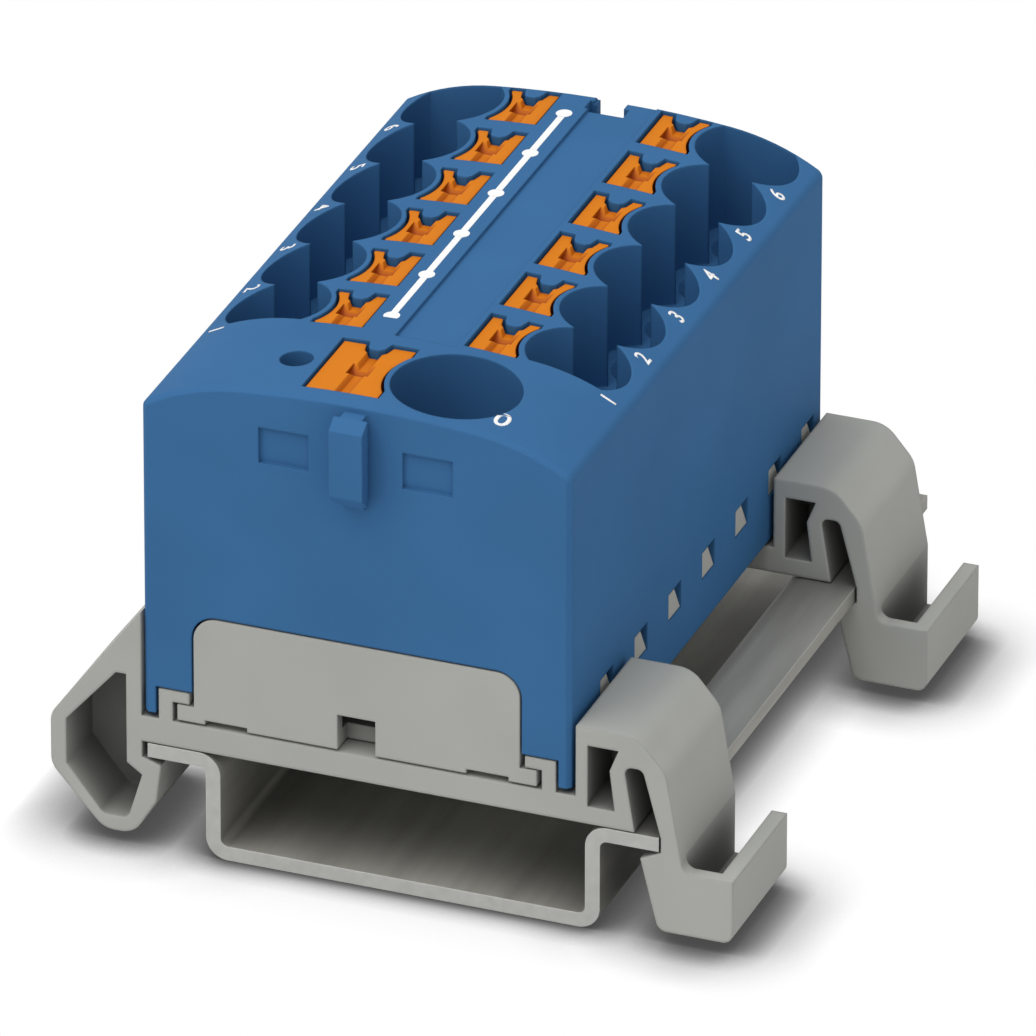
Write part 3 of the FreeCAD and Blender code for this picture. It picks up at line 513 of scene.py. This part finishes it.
def make_lamp():
    data = bpy.data.lights.new("key", "AREA")
    data.shape = "DISK"
    data.size = LAMP_SIZE
    data.energy = LAMP_POWER
    lamp = bpy.data.objects.new("key", data)
    lamp.location = LAMP_PLACE
    lamp.rotation_euler = (AIM - Vector(LAMP_PLACE)).to_track_quat("-Z", "Y").to_euler()
    bpy.context.scene.collection.objects.link(lamp)


def shadow_part(tree, reach, strength):
    """A value that falls from 1 to 0 where the object comes within reach of the floor."""
    near = tree.nodes.new("ShaderNodeAmbientOcclusion")
    near.samples = SHADOW_SAMPLES
    near.inputs["Distance"].default_value = reach * MM
    depth = tree.nodes.new("ShaderNodeMath")
    depth.operation = "POWER"
    depth.inputs[1].default_value = strength
    tree.links.new(near.outputs["AO"], depth.inputs[0])
    return depth.outputs["Value"]


def floor_white():
    """White with a soft shadow to the camera, and plain paper to the light of the scene."""
    material = bpy.data.materials.new("floor_white")
    material.use_nodes = True
    tree = material.node_tree
    tree.nodes.clear()
    paper = tree.nodes.new("ShaderNodeBsdfDiffuse")
    paper.inputs["Color"].default_value = (FLOOR_PAPER, FLOOR_PAPER, FLOOR_PAPER, 1)
    both = tree.nodes.new("ShaderNodeMath")
    both.operation = "MULTIPLY"
    for socket, (reach, strength) in zip(both.inputs, SHADOWS):
        tree.links.new(shadow_part(tree, reach, strength), socket)
    shadow = tree.nodes.new("ShaderNodeMapRange")
    shadow.inputs["To Min"].default_value = SHADOW_DARKEST
    lit = tree.nodes.new("ShaderNodeEmission")
    path = tree.nodes.new("ShaderNodeLightPath")
    seen = tree.nodes.new("ShaderNodeMixShader")
    out = tree.nodes.new("ShaderNodeOutputMaterial")
    tree.links.new(both.outputs["Value"], shadow.inputs["Value"])
    tree.links.new(shadow.outputs["Result"], lit.inputs["Color"])
    tree.links.new(path.outputs["Is Camera Ray"], seen.inputs["Fac"])
    tree.links.new(paper.outputs["BSDF"], seen.inputs[1])
    tree.links.new(lit.outputs["Emission"], seen.inputs[2])
    tree.links.new(seen.outputs["Shader"], out.inputs["Surface"])
    return material


def make_floor():
    mesh = bmesh.new()
    bmesh.ops.create_grid(mesh, x_segments=1, y_segments=1, size=FLOOR_HALF)
    data = bpy.data.meshes.new("floor")
    mesh.to_mesh(data)
    mesh.free()
    data.materials.append(floor_white())
    floor = bpy.data.objects.new("floor", data)
    floor.location.z = -FLOOR_DEPTH * MM
    bpy.context.scene.collection.objects.link(floor)


def make_world():
    """Even soft light from all round, seen as white by the camera."""
    world = bpy.data.worlds.new("studio")
    bpy.context.scene.world = world
    world.use_nodes = True
    tree = world.node_tree
    lit = tree.nodes["Background"]
    lit.inputs["Color"].default_value = (1, 1, 1, 1)
    lit.inputs["Strength"].default_value = ROOM_LIGHT
    seen = tree.nodes.new("ShaderNodeBackground")
    seen.inputs["Color"].default_value = (1, 1, 1, 1)
    seen.inputs["Strength"].default_value = 1.0
    path = tree.nodes.new("ShaderNodeLightPath")
    mix = tree.nodes.new("ShaderNodeMixShader")
    tree.links.new(path.outputs["Is Camera Ray"], mix.inputs["Fac"])
    tree.links.new(lit.outputs["Background"], mix.inputs[1])
    tree.links.new(seen.outputs["Background"], mix.inputs[2])
    tree.links.new(mix.outputs["Shader"], tree.nodes["World Output"].inputs["Surface"])


def make_stage():
    make_world()
    make_floor()
    make_lamp()
    bpy.context.scene.view_settings.view_transform = "Standard"


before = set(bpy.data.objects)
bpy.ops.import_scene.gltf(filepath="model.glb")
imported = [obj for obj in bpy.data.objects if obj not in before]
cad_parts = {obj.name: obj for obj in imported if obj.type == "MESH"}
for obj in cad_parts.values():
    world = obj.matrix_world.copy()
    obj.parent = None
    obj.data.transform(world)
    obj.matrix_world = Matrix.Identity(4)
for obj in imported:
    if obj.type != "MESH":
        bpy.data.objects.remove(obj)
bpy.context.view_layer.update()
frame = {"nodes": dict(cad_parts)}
make_camera()
dress_nodes(frame)
folding_springs(frame)
marks = Marks(frame["nodes"]["housing"], ink())
marks.add_line()
marks.add_digits()
make_stage()
